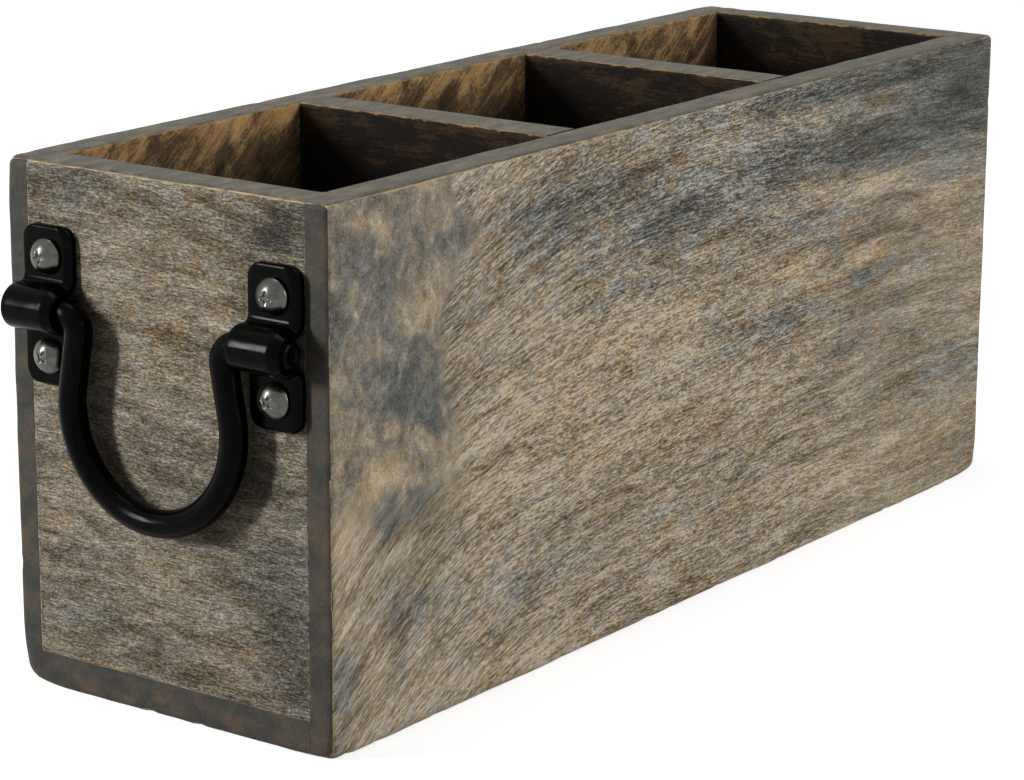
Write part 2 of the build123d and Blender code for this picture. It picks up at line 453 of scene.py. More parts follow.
# Spots are middle u and v, radii u and v in mm, and strength: positive is dark, negative warm.
front_spots = (
    (-160, 128, 12, 18, 0.14), (-150, 100, 14, 10, 0.18), (-139, 90, 13, 6, 0.20),
    (-128, 112, 9, 6, 0.16), (-124, 138, 8, 8, 0.14), (-154, 62, 5, 8, 0.20),
    (-140, 62, 10, 6, 0.14), (-141, 34, 13, 6, 0.16), (-173, 22, 5, 8, 0.20), (-150, 24, 4, 12, 0.12),
    (-70, 137, 40, 6, 0.18), (-80, 127, 13, 6, 0.12), (-15, 122, 34, 7, 0.15), (-45, 104, 26, 4, 0.08),
    (55, 132, 50, 7, 0.20), (90, 149, 90, 5, 0.30), (158, 134, 28, 18, 0.38), (110, 126, 34, 6, 0.22),
    # The broad spot at 120, 116 is painted shade over the right part of the long side.
    (-30, 124, 50, 14, 0.09), (120, 116, 70, 40, 0.07),
    (52, 108, 24, 5, 0.12), (44, 79, 26, 5, 0.14), (98, 64, 30, 8, 0.08), (30, 124, 30, 5, 0.10),
    (155, 42, 26, 8, 0.12), (96, 84, 14, 3, 0.12), (-88, 30, 22, 6, 0.08), (0, 32, 40, 6, 0.05),
    (-137, 116, 7, 6, -0.22), (-150, 88, 8, 4, -0.12), (-157, 74, 9, 6, -0.16),
    (-172, 62, 6, 7, -0.14), (-159, 145, 8, 3, -0.14), (-126, 142, 4, 6, -0.12),
    (-172, 36, 4, 5, -0.16), (-158, 22, 5, 8, -0.12), (-163, 110, 5, 6, -0.08),
    (-92, 78, 34, 9, -0.09), (-50, 88, 44, 9, -0.09), (-60, 60, 60, 9, -0.07), (-115, 58, 14, 6, -0.10),
    (55, 94, 15, 3.0, -0.22), (98, 91, 13, 3.2, -0.26), (102, 113, 20, 4, -0.17), (66, 86, 18, 2, -0.14),
    (150, 102, 22, 5, -0.19), (20, 58, 50, 8, -0.04), (-100, 7, 50, 3, -0.10), (150, 90, 14, 4, -0.10),
    (60, 22, 60, 7, -0.05), (-110, 142, 4, 3, -0.08), (-10, 96, 24, 3, -0.06), (130, 20, 40, 8, -0.05),
)
back_spots = (
    (-140, 118, 22, 18, 0.18), (-60, 134, 50, 8, 0.14), (30, 120, 44, 9, 0.12),
    (120, 60, 36, 8, 0.14), (-20, 30, 50, 7, 0.10), (150, 128, 22, 14, 0.16),
    (-100, 60, 44, 9, -0.10), (40, 84, 50, 7, -0.12), (100, 104, 20, 4, -0.16),
    (-150, 40, 8, 10, -0.14), (20, 8, 80, 4, -0.10), (-70, 96, 30, 4, 0.08),
)
left_end_spots = (
    (43, 147, 24, 4, 0.12), (20, 143, 30, 4, 0.04), (-41, 142, 9, 7, 0.22), (6, 132, 34, 10, -0.07),
    (-36, 52, 18, 16, 0.12), (-42, 30, 9, 22, 0.16), (30, 26, 16, 7, 0.08),
    (-16, 76, 34, 8, 0.05), (0, 116, 30, 18, -0.06), (40, 58, 8, 6, -0.08),
    (0, 42, 16, 8, -0.05), (-22, 20, 12, 6, -0.09), (-30, 62, 14, 6, -0.06),
)
right_end_spots = (
    (-30, 142, 26, 6, 0.18), (36, 130, 14, 14, 0.16), (10, 50, 30, 10, 0.10),
    (-40, 30, 10, 16, 0.14), (0, 100, 30, 16, -0.08), (30, 22, 16, 7, -0.10),
)
print("spots of stain on the near side:", len(front_spots))


# %% [markdown]
# ## From numbers to an object
#
# Whole arrays go into a mesh with foreach_set, which is quick even for tens of thousands of
# points. The finish of a face follows from where it is and which way it faces, so that one board
# can be sawn wood outside, end grain at its ends, a sanded rim on top and raw brown inside.

# %% Build a mesh from arrays
def volume(points, faces):
    """The volume inside closed faces, which is negative if they point inwards.

    Each face is a fan of triangles, and each triangle with corners a, b and c adds a.(b x c) / 6."""
    total = 0.0
    for block in faces:
        for turn in range(1, block.shape[1] - 1):
            a, b, c = points[block[:, 0]], points[block[:, turn]], points[block[:, turn + 1]]
            total += (a * np.cross(b, c)).sum() / 6
    return total


def new_piece(name, points, faces, body, node, slot, finishes, face_finish=None, **carried):
    """An object from an array of points and a list of arrays of faces, one array for each number
    of corners. What it carries is a number or vector for each point."""
    if volume(points, faces) < 0:
        faces = [block[:, ::-1] for block in faces]
    corners = np.concatenate([block.ravel() for block in faces])
    sizes = np.concatenate([np.full(len(block), block.shape[1]) for block in faces])
    mesh = bpy.data.meshes.new(name)
    mesh.vertices.add(len(points))
    mesh.vertices.foreach_set("co", points.ravel())
    mesh.loops.add(len(corners))
    mesh.loops.foreach_set("vertex_index", corners)
    mesh.polygons.add(len(sizes))
    mesh.polygons.foreach_set("loop_start", np.cumsum(sizes) - sizes)
    mesh.update(calc_edges=True)
    mesh.polygons.foreach_set("use_smooth", np.ones(len(sizes), dtype=bool))
    for finish in finishes:
        mesh.materials.append(finish)
    if face_finish is not None:
        mesh.polygons.foreach_set("material_index", face_finish.astype(np.int32))
    for label, values in carried.items():
        kind, field = ("FLOAT_VECTOR", "vector") if values.ndim == 2 else ("FLOAT", "value")
        mesh.attributes.new(label, kind, "POINT").data.foreach_set(field, values.ravel())
    piece = bpy.data.objects.new(name, mesh)
    scene.collection.objects.link(piece)
    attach(piece, body)
    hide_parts(node)
    print(name, "has", len(points), "points")


def face_sides(points, faces):
    """The middle of each quad and its unit normal, half the cross product of its diagonals."""
    a, b, c, d = (points[faces[:, corner]] for corner in range(4))
    normal = np.cross(c - a, d - b)
    normal /= np.maximum(np.linalg.norm(normal, axis=1, keepdims=True), 1e-15)
    return (a + b + c + d) / 4, normal


# %% [markdown]
# ## The sawn outside
#
# The outer faces were left rough from the saw, stained nearly black and rubbed back. The stain
# stays in the hollows and the high fibres are pale, so light and dark are a fine speckle drawn out
# along the grain. The hue follows only slower clouds, from slate through tan to rust, and the stain
# that the points carry places the large patches; one broad patch is painted shade over the right
# part of the long side. The speckle also lifts the surface a fraction of a millimetre. In the knot
# the wood is dense and took no saw marks: there a faint grit lies over mottles, cloudy swirls and a
# few soft rings. Rubbed edges show a broken line of bare yellow wood.

# %% Sawn wood
def rub_edges(tree, colour, bare, share, place, size, start, seed):
    """A share of bare wood where the stain has gone: wear at the point, broken up by quick noise."""
    broken = calculate(tree, "MULTIPLY_ADD", cloud(tree, place, size, 3.0, 0.0, seed), 1.7, -0.85)
    wear = calculate(tree, "ADD", attribute(tree, "worn"), broken)
    rubbed = calculate(tree, "MULTIPLY", between(tree, wear, start, start + 0.42), share)
    return blend(tree, rubbed, colour, screen(*bare))


def hue_line(tree, tone, red_over, blue_under):
    """Colours from dark to light along the tone. Red stays above green and blue below it by the
    same amounts all the way, so the light and dark fibres of one patch share its hue."""
    places, levels = np.linspace(0, 1, 6).tolist(), np.linspace(40, 210, 6).tolist()
    return along_stops(tree, tone, [(place, (level + red_over, level, level - blue_under))
                                    for place, level in zip(places, levels)])


def sawn_finish(name, speck, fibre, streak, contrast, lightness, tan, seed):
    """Weathered sawn wood. Speck, fibre and streak are feature sizes along, across and through,
    and tan is how far red stands over green and blue under it where the stain is thin."""
    material, tree, shader = new_finish(name)
    grain, place = attribute(tree, "grain", "Vector"), object_place(tree)
    dirt_and_shade, calm = attribute(tree, "stain"), attribute(tree, "calm")
    in_knot = between(tree, calm, 0.35, 0.95)

    fine = cloud(tree, grain, speck, 3.0, 0.1, seed)
    fibres = cloud(tree, grain, fibre, 2.0, 0.2, seed + 3)
    grit = cloud(tree, place, (0.6, 0.6, 0.7), 2.0, 0.0, seed + 23)
    speckle = calculate(tree, "MULTIPLY", calculate(tree, "SUBTRACT", fine, 0.5),
                        between(tree, calm, 0, 0.6, 0.62 * contrast, 0.32 * contrast))
    fibrous = between(tree, calm, 0.1, 0.7, 0.42 * contrast, 0.2 * contrast)
    speckle = sway(tree, speckle, fibres, fibrous)
    faint = calculate(tree, "MULTIPLY", calculate(tree, "SUBTRACT", grit, 0.5), 0.20 * contrast)
    speckle = mixed(tree, in_knot, speckle, faint)

    band = cloud(tree, grain, streak, 3.0, 0.5, seed + 7)
    slow = cloud(tree, grain, (60, 14, 30), 2.0, 0.6, seed + 11)
    tone = sway(tree, sway(tree, lightness, band, 0.80), slow, 0.46)
    # The carried stain darkens the large patches; one of them is painted shade.
    tone = calculate(tree, "SUBTRACT", tone, dirt_and_shade)

    swirl = cloud(tree, place, (9, 9, 12), 3.0, 1.2, seed + 15)
    mottle = cloud(tree, place, (2.6, 2.6, 3.2), 2.0, 0.8, seed + 21)
    figure = cloud(tree, place, (21, 21, 26), 1.0, 2.2, seed + 17)
    from_ring = calculate(tree, "ABSOLUTE", calculate(tree, "SUBTRACT", figure, 0.5))
    ring = calculate(tree, "MULTIPLY", between(tree, from_ring, 0.0, 0.03, 1.0, 0.0),
                     between(tree, swirl, 0.52, 0.66))
    knotty = sway(tree, sway(tree, lightness - 0.06, swirl, 0.85), mottle, 0.55)
    knotty = calculate(tree, "MULTIPLY_ADD", dirt_and_shade, -0.85, knotty)
    knotty = calculate(tree, "MULTIPLY_ADD", ring, 0.14, knotty)
    tone = calculate(tree, "ADD", mixed(tree, in_knot, tone, knotty), speckle, clamp=True)

    hue = cloud(tree, grain, (9, 4.5, 9), 3.0, 0.8, seed + 29)
    hue = mixed(tree, in_knot, hue, calculate(tree, "SUBTRACT", 1.0, swirl))
    slate = calculate(tree, "MULTIPLY_ADD", dirt_and_shade, 1.5, hue)
    slate = between(tree, calculate(tree, "MULTIPLY_ADD", in_knot, 0.10, slate), 0.44, 0.82)
    colour = blend(tree, slate, hue_line(tree, tone, *tan), hue_line(tree, tone, 1, 7))
    rust = cloud(tree, grain, (7, 5, 8), 1.6, 0.8, seed + 19)
    rust = between(tree, calculate(tree, "MULTIPLY_ADD", dirt_and_shade, -1.1, rust), 0.50, 0.84, 0.0, 0.8)
    colour = blend(tree, rust, colour, hue_line(tree, tone, tan[0] + 13, tan[1] + 15))
    colour = rub_edges(tree, colour, (206, 184, 138), 0.8, grain, (4, 2, 4), 0.56, seed + 37)

    relief = calculate(tree, "MULTIPLY_ADD", fibres, 0.6, fine)
    dress(tree, shader, colour, fine, (0.66, 0.86), 0.12, relief, 0.5, 0.45)
    return material


long_sawn = sawn_finish("sawn_long_side", (1.3, 0.36, 0.8), (5.0, 0.55, 2.0), (28, 3.6, 18),
                        contrast=3.2, lightness=0.65, tan=(16, 24), seed=0.0)
end_sawn = sawn_finish("sawn_end", (1.0, 0.42, 0.8), (3.2, 0.55, 2.0), (13, 3.2, 12),
                       contrast=2.2, lightness=0.42, tan=(9, 16), seed=40.0)

# %% [markdown]
# ## End grain, rim and inside
#
# Where fibres are cut across they drink the stain, so the narrow strips beside and under the end
# boards are smooth and dark, with a reddish tinge. The rim was sanded and is a lighter grey. The
# inside was stained less: it is brown, with the marks of the saw running up at a slant. Painted
# shade darkens it deeper in the box, and painted light makes it golden just under the rim. The end
# boards and the dividers get a darker copy of it inside, as painted shade.

# %% Smooth and brown wood
def smooth_finish(name, stops, size, bare, share, seed):
    """Sanded or end-grain wood: soft clouds of colour with fine dust over them."""
    material, tree, shader = new_finish(name)
    place = object_place(tree)
    soft = cloud(tree, place, size, 3.0, 0.4, seed)
    tone = sway(tree, soft, cloud(tree, place, (0.9, 0.7, 0.7), 2.0, 0.0, seed + 5), 0.5)
    colour = along_stops(tree, between(tree, tone, 0.25, 0.75), stops)
    colour = rub_edges(tree, colour, bare, share, place, (4, 4, 4), 0.62, seed + 9)
    dress(tree, shader, colour, soft, (0.56, 0.72), 0.15, tone, 0.3, 0.3)
    return material


end_grain_stops = (0.0, (54, 53, 50)), (0.5, (70, 68, 63)), (0.85, (84, 76, 66)), (1.0, (96, 80, 66))
rim_stops = (0.0, (70, 67, 60)), (0.5, (96, 92, 82)), (1.0, (126, 118, 101))
end_grain = smooth_finish("end_grain", end_grain_stops, (9, 9, 7), (44, 38, 32), 0.8, 3.0)
rim_wood = smooth_finish("sanded_rim", rim_stops, (9, 4, 5), (176, 144, 92), 0.55, 13.0)


def inside_finish(name, stops, seed):
    """The less stained inside, with slanting saw marks."""
    material, tree, shader = new_finish(name)
    grain = attribute(tree, "grain", "Vector")
    marks = cloud(tree, grain, (13, 1.7, 6), 3.0, 1.2, seed)
    soft = cloud(tree, grain, (16, 9, 14), 3.0, 0.9, seed + 5)
    dust = cloud(tree, grain, (1.4, 0.6, 0.8), 2.0, 0.0, seed + 9)
    tone = calculate(tree, "MULTIPLY_ADD", marks, 0.38, calculate(tree, "MULTIPLY", soft, 0.62))
    tone = calculate(tree, "MULTIPLY_ADD", dust, 0.3, tone)
    # The carried number darkens the inside deeper down as painted shade and lightens it just under the
    # rim as painted light.
    tone = calculate(tree, "SUBTRACT", tone, attribute(tree, "stain"))
    colour = along_stops(tree, between(tree, tone, 0.36, 0.92), stops)
    colour = rub_edges(tree, colour, (186, 144, 88), 0.6, grain, (3, 2, 3), 0.84, seed + 15)
    dress(tree, shader, colour, soft, (0.68, 0.82), 0.1, tone, 0.5, 0.5)
    return material


brown_stops = (0.0, (33, 26, 17)), (0.5, (98, 77, 53)), (1.0, (196, 156, 104))
# The inside finish again, darker: painted shade for the inner faces of the end boards and the dividers.
painted_shade_stops = (0.0, (9, 7, 5)), (0.5, (25, 19, 14)), (1.0, (70, 54, 37))
brown_inside = inside_finish("brown_inside", brown_stops, 23.0)
painted_shade_inside = inside_finish("painted_shade_inside", painted_shade_stops, 27.0)

# %% [markdown]
# ## The boards
#
# Two side boards run the full length and height. A rabbet down each inner end edge holds an end
# board and one along the inner bottom edge holds the bottom, so only a thin lip of end grain shows
# beside them. Each board is its lattice with the rabbet cells left out, then eased three times:
# the outer edges of the whole box, its own inner rim, and the fine break of its joint edges, which
# is what makes a joint show as a line.

# %% Make one board
far = 9.0                # stands for no limit in that direction
outer_depth = 5 * mm     # a point this near to an outer side belongs to it
face_depth = 4 * mm      # and so does a face whose middle is this near
SAWN, END_GRAIN, RIM, INSIDE = range(4)
finishes_along = (long_sawn, end_grain, rim_wood, brown_inside)    # for boards that run lengthwise
finishes_across = (end_sawn, end_grain, rim_wood, painted_shade_inside)
rubbed_spots = ((-100, 152, 60, 6, 1), (-180, 120, 6, 40, 0.7), (-190, 156, 5, 8, -1.4))


def beside(points, low, high, reach):
    """1 on the edges of a block and less within reach of them, as exp(-(distance / reach)^2).

    A point on a face is 0 from one plane of the block, and the next nearest gives the distance."""
    gaps = np.sort(np.minimum(np.abs(points - low), np.abs(points - high)), axis=1)
    return np.exp(-(gaps[:, 1] / reach) ** 2)


def make_board(node, rim, joint, grain, stain, lengthwise,
               joints=((), (), ()), rabbet=None, calm=None):
    """One board, from the joint lines along each axis and a rule for the cells that are cut out.
    Rim and joint give the low and high limits of the blocks whose edges are eased."""
    lattice = [lattice_lines(*limits) for limits in zip(*part_box(node), joints)]
    middles = np.meshgrid(*((line[1:] + line[:-1]) / 2 for line in lattice), indexing="ij")
    wood = ~rabbet(*middles) if rabbet else np.ones(middles[0].shape, dtype=bool)
    flat, quads = skin(*lattice, wood)
    dent = 0.10 * mm * (1 + uneven(flat, 13, 7))[:, None] * (1, 1, 0)
    points = ease(flat, block_low + dent, block_high - dent, worn_radius(flat))
    spotted = patches(flat[:, 0], flat[:, 2], rubbed_spots)
    rubbing = 0.75 + 0.4 * uneven(flat, 24, 19) + 0.4 * spotted
    worn = rubbing * beside(flat, block_low, block_high, 0.9 * mm)
    if rim:
        points = ease(points, *rim(flat), rim_ease * (1 + 0.3 * uneven(flat, 9, 5)))
        worn = np.maximum(worn, beside(flat, *rim(flat), 1.3 * mm))
    if joint:
        points = ease(points, *joint(flat), joint_ease)
        worn = np.maximum(worn, 0.75 * beside(flat, *joint(flat), 0.4 * mm))
    new_piece(f"{node}_wood", points, [quads], "box", node, "weathered_wood",
              finishes_along if lengthwise else finishes_across,
              face_finish(*face_sides(points, quads), lengthwise), grain=grain(flat), worn=worn,
              stain=stain(flat), calm=calm(flat) if calm else np.zeros(len(flat)))


# %% [markdown]
# Which finish a face gets is one rule for all boards: faces that look up at the rim are sanded,
# the ends of the boards that run lengthwise are end grain, faces on the outside are sawn, and all
# the rest is inside.

# %% The rule for finishes
def face_finish(middle, normal, lengthwise):
    """The number of the finish of each face, on a board that runs lengthwise or across."""
    at_end = np.abs(middle[:, 0]) > half_length - face_depth
    at_side = np.abs(middle[:, 1]) > half_width - face_depth
    finish = np.full(len(middle), INSIDE)
    finish[at_end | at_side & (np.abs(normal[:, 1]) > 0.6) | (normal[:, 2] < -0.6)] = SAWN
    if lengthwise:
        finish[at_end & (np.abs(normal[:, 0]) > 0.72)] = END_GRAIN
    finish[(middle[:, 2] > height - face_depth) & (normal[:, 2] > 0.72)] = RIM
    return finish


# %% Side boards
saw_slant = np.radians(38)


def board_grain(points, mirror):
    """The bent grain of the outer face, and straight slanted marks for the inside."""
    x, y, z = points.T
    slanted = np.stack([x * np.cos(saw_slant) + z * np.sin(saw_slant),
                        z * np.cos(saw_slant) - x * np.sin(saw_slant), y], axis=1)
    outside = np.abs(y) > half_width - outer_depth
    return np.where(outside[:, None], long_grain(points, mirror), slanted)


def painted_depth_shade(points):
    """Painted shade that darkens the inside deeper down the box, and painted light just under the rim.
    """
    below = height - points[:, 2]
    return 0.31 * rise(below, 2 * mm, 44 * mm) - 0.04 * (1 - rise(below, 2 * mm, 12 * mm))


def board_stain(points, axis, mirror, spots):
    """The stain spots on a board's outer face, which is square to the axis, and the painted shade and
    light inside.
    """
    outside = np.abs(points[:, axis]) > block_high[axis] - outer_depth
    spotted = patches(mirror * points[:, 1 - axis], points[:, 2], spots)
    return np.where(outside, spotted, painted_depth_shade(points))


def long_calm(points, mirror):
    """1 in the knot at the left end of a side board, where the wood is dense and took no saw
    marks, falling to 0 along a wavy line. Low down, and towards the far end, it is less."""
    x, _, z = (points * (mirror, 1, 1)).T
    border = -123 * mm + 13 * mm * uneven(points, 22, 17) + 6 * mm * uneven(points, 8, 18)
    knot = (1 - rise(x, border - 9 * mm, border + 9 * mm)) * (0.3 + 0.7 * rise(z, 48 * mm, 84 * mm))
    far_corner = 0.6 * np.exp(-((x - 160 * mm) / (34 * mm)) ** 2 - ((z - 142 * mm) / (26 * mm)) ** 2)
    return np.maximum(np.maximum(knot, far_corner), 0.44 * rise(x, 10 * mm, 110 * mm))


for node, side, spots in (("front_side_board", -1, front_spots), ("back_side_board", 1, back_spots)):
    seat = side * seat_half_width
    joints = (-inner_half_length, inner_half_length), (seat,), (bottom_thickness,)

    def in_rabbet(x, y, z):
        """Where the end boards and the bottom board sit in this board."""
        beyond = (np.abs(x) > inner_half_length) | (z < bottom_thickness)
        return beyond & (np.abs(y) < seat_half_width)

    def rim_limits(flat):
        """The block whose only near edge is the inner edge of this board's rim."""
        near, past = sorted((side * far, side * inner_half_width))
        return np.array([-far, near, -far]), np.array([far, past, height])

    def lip_limits(flat):
        """The thin lip beside the end boards and the bottom. Elsewhere its inner limit is far off."""
        in_lip = np.abs(flat[:, 0]) > inner_half_length + 0.1 * mm
        in_lip |= flat[:, 2] < bottom_thickness - 0.1 * mm
        limit = np.where(in_lip, seat, -side * far)
        lip_low, lip_high = np.tile(block_low, (len(flat), 1)), np.tile(block_high, (len(flat), 1))
        lip_low[:, 1], lip_high[:, 1] = np.minimum(limit, side * far), np.maximum(limit, side * far)
        return lip_low, lip_high

    make_board(node, rim_limits, lip_limits, lambda flat: board_grain(flat, -side),
               lambda flat: board_stain(flat, 1, -side, spots), True, joints, in_rabbet,
               lambda flat: long_calm(flat, -side))

# %% [markdown]
# The end boards stand on the bottom board between the lips. Their fibres run across the box. The
# bottom board is seen only as a dark strip under each end and as the floor of the compartments.

# %% End boards, bottom board and dividers
for node, end, spots in (("left_end_board", -1, left_end_spots),
                         ("right_end_board", 1, right_end_spots)):

    def rim_limits(flat):
        """The block whose only near edge is the inner edge of the rim, between the side boards."""
        inner = np.abs(flat[:, 1]) < inner_half_width
        rim_low, rim_high = np.full((len(flat), 3), -far), np.full((len(flat), 3), far)
        rim_low[inner, 0], rim_high[inner, 0] = sorted((end * far, end * inner_half_length))
        rim_high[:, 2] = height
        return rim_low, rim_high

    make_board(node, rim_limits, lambda flat: part_box(node), cross_grain,
               lambda flat: board_stain(flat, 0, 1, spots), False)

make_board("bottom_board", None, lambda flat: (bottom_low, bottom_high), np.copy,
           lambda flat: np.full(len(flat), 0.12), True)

for node in ("left_divider", "right_divider"):
    low, high = part_box(node)
    open_low, open_high = np.array([low[0], -far, -far]), np.array([high[0], far, high[2]])
    make_board(node, lambda flat: (open_low, open_high), None, cross_grain, painted_depth_shade, False)

# %% [markdown]
# ## Black iron
#
# The handles have a smooth black coat with a soft shine. Black hides almost everything except its
# reflections, so the finish is mostly in the roughness, which changes in slow clouds, and in a
# fine orange-peel relief. The screws are plain steel, a little dull in small patches.

# %% Black coat and bright screws
black_coat, tree, shader = new_finish("black_coat")
place = object_place(tree)
peel = cloud(tree, place, (1.1, 1.1, 1.1), 2.0, 0.0, 51.0)
haze = cloud(tree, place, (9, 9, 9), 3.0, 0.3, 57.0)
colour = blend(tree, haze, screen(1, 1, 1), screen(5, 5, 5))
dress(tree, shader, colour, haze, (0.15, 0.24), 0.033, peel, 0.12, 0.1)

bright_steel, tree, shader = new_finish("bright_steel")
dull = cloud(tree, object_place(tree), (1.6, 1.6, 1.6), 3.0, 0.4, 61.0)
colour = blend(tree, dull, screen(54, 54, 51), screen(104, 104, 99))
dress(tree, shader, colour, dull, (0.30, 0.22), 0.5, dull, 0.35, 0.08)
shader.inputs["Metallic"].default_value = 1.0

# %% [markdown]
# ## A path of moves
#
# The bar of a handle and the strap that holds it are both bent from straight stock. So both are
# described as a smith would: how far to go and how much to turn on the way.

# %% Walk along a path
def walk(start, heading, moves, step, finest=7.5):
    """Stations along a flat path of straight runs and arcs, as points and headings.

    Each move is (length, turn in degrees). It is divided so that no part is longer than the step
    or turns more than the finest angle. From one station to the next the path is one arc: its
    chord points midway between its two headings, and is the arc's length times sin(h) / h, where
    h is half its turn."""
    lengths, turns = [], []
    for length, turn in moves:
        count = int(np.ceil(max(length / step, abs(turn) / finest)))
        lengths.append(np.full(count, length / count))
        turns.append(np.full(count, np.radians(turn) / count))
    lengths, turns = np.concatenate(lengths), np.concatenate(turns)
    headings = np.radians(heading) + np.r_[0, np.cumsum(turns)]
    middle = (headings[1:] + headings[:-1]) / 2
    chord = lengths * np.sinc(turns / (2 * np.pi))
    steps = np.stack([chord * np.cos(middle), chord * np.sin(middle)], axis=1)
    return start + np.r_[[(0, 0)], np.cumsum(steps, axis=0)], headings


def close_tube(grid):
    """Points and faces of a closed tube from a grid of rings, (ring, place round it, xyz).

    The first and last rings have no width, so each becomes one pole with a fan of triangles. The
    last point of each ring joins its first."""
    rings, around, _ = grid.shape
    points = np.concatenate([grid[:1, 0], grid[1:-1].reshape(-1, 3), grid[-1:, 0]])
    here = np.arange(around)
    ahead = (here + 1) % around
    first = 1 + np.arange(rings - 3)[:, None] * around
    quads = first[..., None] + np.stack([here, ahead, around + ahead, around + here], axis=-1)
    last = 1 + (rings - 3) * around
    start = np.stack([np.zeros(around, dtype=int), 1 + ahead, 1 + here], axis=1)
    stop = np.stack([np.full(around, len(points) - 1), last + here, last + ahead], axis=1)
    return points, [quads.reshape(-1, 4), np.concatenate([start, stop])]


# %% Measure the handles
bar_radius = 4.0 * mm
bail_radius, shoulder_radius, leg_lean = 28.9 * mm, 5.0 * mm, 10.0
bail_drop = 53.9 * mm
bail_low, bail_high = part_box("left_bail")
pin_end = bail_high[1]
pivot_x = -(bail_low[0] + bail_high[0]) / 2
pivot_z = bail_high[2] - bar_radius
lean = np.radians(leg_lean)
leg_length = (bail_drop - (bail_radius + shoulder_radius) * (1 + np.sin(lean))) / np.cos(lean)
shoulder_end = (bail_radius + shoulder_radius) * np.cos(lean) - leg_length * np.sin(lean)
print("pins at", np.round((pivot_x, pivot_z), 5), "m, ending at", round(pin_end, 5), "m")

# %% [markdown]
# ## The bails
#
# Each bail is one round bar: a pin, a tight shoulder, a leg, the round bottom, and back up again.
# Blender's curves could carry a circle along such a line, but a grid made here can also shrink,
# dent and close its ends. The hammered ends of the pins are a few more rings: a bevel, a raised
# rim and a dish in the middle.

# %% Sweep the bars
bar_points = 40
peened = mm * np.array([    # depth from the end of the pin, and radius of the ring
    (0.34, 0.0), (0.34, 0.9), (0.24, 1.7), (0.04, 2.4),
    (0.0, 2.9), (0.10, 3.3), (0.42, 3.75), (0.85, 4.0)])

pin_length = pin_end - shoulder_end
shoulder = (np.radians(90 + leg_lean) * shoulder_radius, -90 - leg_lean)
moves = ((pin_length, 0), shoulder, (leg_length, 0),
         (np.radians(180 + 2 * leg_lean) * bail_radius, 180 + 2 * leg_lean),
         (leg_length, 0), shoulder, (pin_length, 0))

for end_name, end in (("left", -1), ("right", 1)):
    line, headings = walk(np.array([-pin_end, pivot_z]), 0, moves, 1.2 * mm)
    inner = np.abs(line[:, 0]) < pin_end - peened[-1, 0] - 0.4 * mm
    line, headings = line[inner], headings[inner]
    cap = np.stack([-pin_end + peened[:, 0], np.full(len(peened), pivot_z)], axis=1)
    level = np.zeros(len(cap))
    line = np.concatenate([cap, line, (cap * (-1, 1))[::-1]])
    headings = np.concatenate([level, headings, level])
    radius = np.concatenate([peened[:, 1], np.full(inner.sum(), bar_radius), peened[::-1, 1]])
    angle = np.linspace(0, 2 * np.pi, bar_points, endpoint=False)
    reach, turn = np.meshgrid(radius, angle, indexing="ij")
    centre = np.insert(line, 0, end * pivot_x, axis=1)[:, None, :]
    side = np.stack([np.zeros(len(line)), -np.sin(headings), np.cos(headings)], axis=1)[:, None, :]
    spoke = np.cos(turn)[..., None] * side + np.sin(turn)[..., None] * (1.0, 0.0, 0.0)
    rough = (centre + reach[..., None] * spoke).reshape(-1, 3)
    forged = 1 - 0.012 * (1 + uneven(rough, 11, 31)) - 0.007 * (1 + uneven(rough, 4, 32))
    grid = centre + (reach * forged.reshape(reach.shape))[..., None] * spoke
    points, faces = close_tube(grid)
    node = f"{end_name}_bail"
    new_piece(f"{node}_iron", points, faces, node, node, "black_iron", (black_coat,))

# %% [markdown]
# ## The straps
#
# A strap is a flat iron blank with rounded corners, folded out from the wall, round the pin and
# back to the wall. Cutting it from a solid would leave its folds sharp. As a section carried along
# its bent middle line, it keeps its thickness in the folds, and its long edges get their soft
# arris from the section. Near each foot the section narrows along a quarter circle, which rounds
# the corners of the plate.

# %% Bend the straps
strap_low, strap_high = part_box("left_front_strap")
strap_half_width = (strap_high[1] - strap_low[1]) / 2
strap_centre = -(strap_high[1] + strap_low[1]) / 2
foot_reach = (strap_high[2] - strap_low[2]) / 2
strap_thickness = 2.3 * mm
strap_corner = 4.5 * mm
fold_radius = 2.0 * mm + strap_thickness / 2          # of the middle line
knuckle_radius = bar_radius + 0.1 * mm + strap_thickness / 2    # with 0.1 mm round the pin
arris, back_arris = 0.75 * mm, 0.2 * mm
standoff = pivot_x - half_length

foot_steps = np.diff(mm * np.array([0, 0.05, 0.2, 0.45, 0.8, 1.25, 1.8, 2.5, 3.4, 4.5]))
foot = [(step, 0) for step in foot_steps]
plate = (foot_reach - knuckle_radius - fold_radius - strap_corner, 0)
fold = (np.radians(90) * fold_radius, -90)
wing = (standoff - strap_thickness / 2 - fold_radius, 0)
round_pin = (np.radians(180) * knuckle_radius, 180)
strap_moves = foot + [plate, fold, wing, round_pin, wing, fold, plate] + foot[::-1]

foot_start = np.array([strap_thickness / 2, -foot_reach])
middle_line, headings = walk(foot_start, 90, strap_moves, 1.0 * mm, 6)
travel = np.r_[0, np.cumsum(np.linalg.norm(np.diff(middle_line, axis=0), axis=1))]
to_foot = np.minimum(travel, travel[-1] - travel)


def quarter(distance, radius):
    """How far a quarter circle has come up, from 0 to its radius, a distance from where it begins."""
    left = np.clip(radius - distance, 0, radius)
    return np.sqrt(radius**2 - left**2)


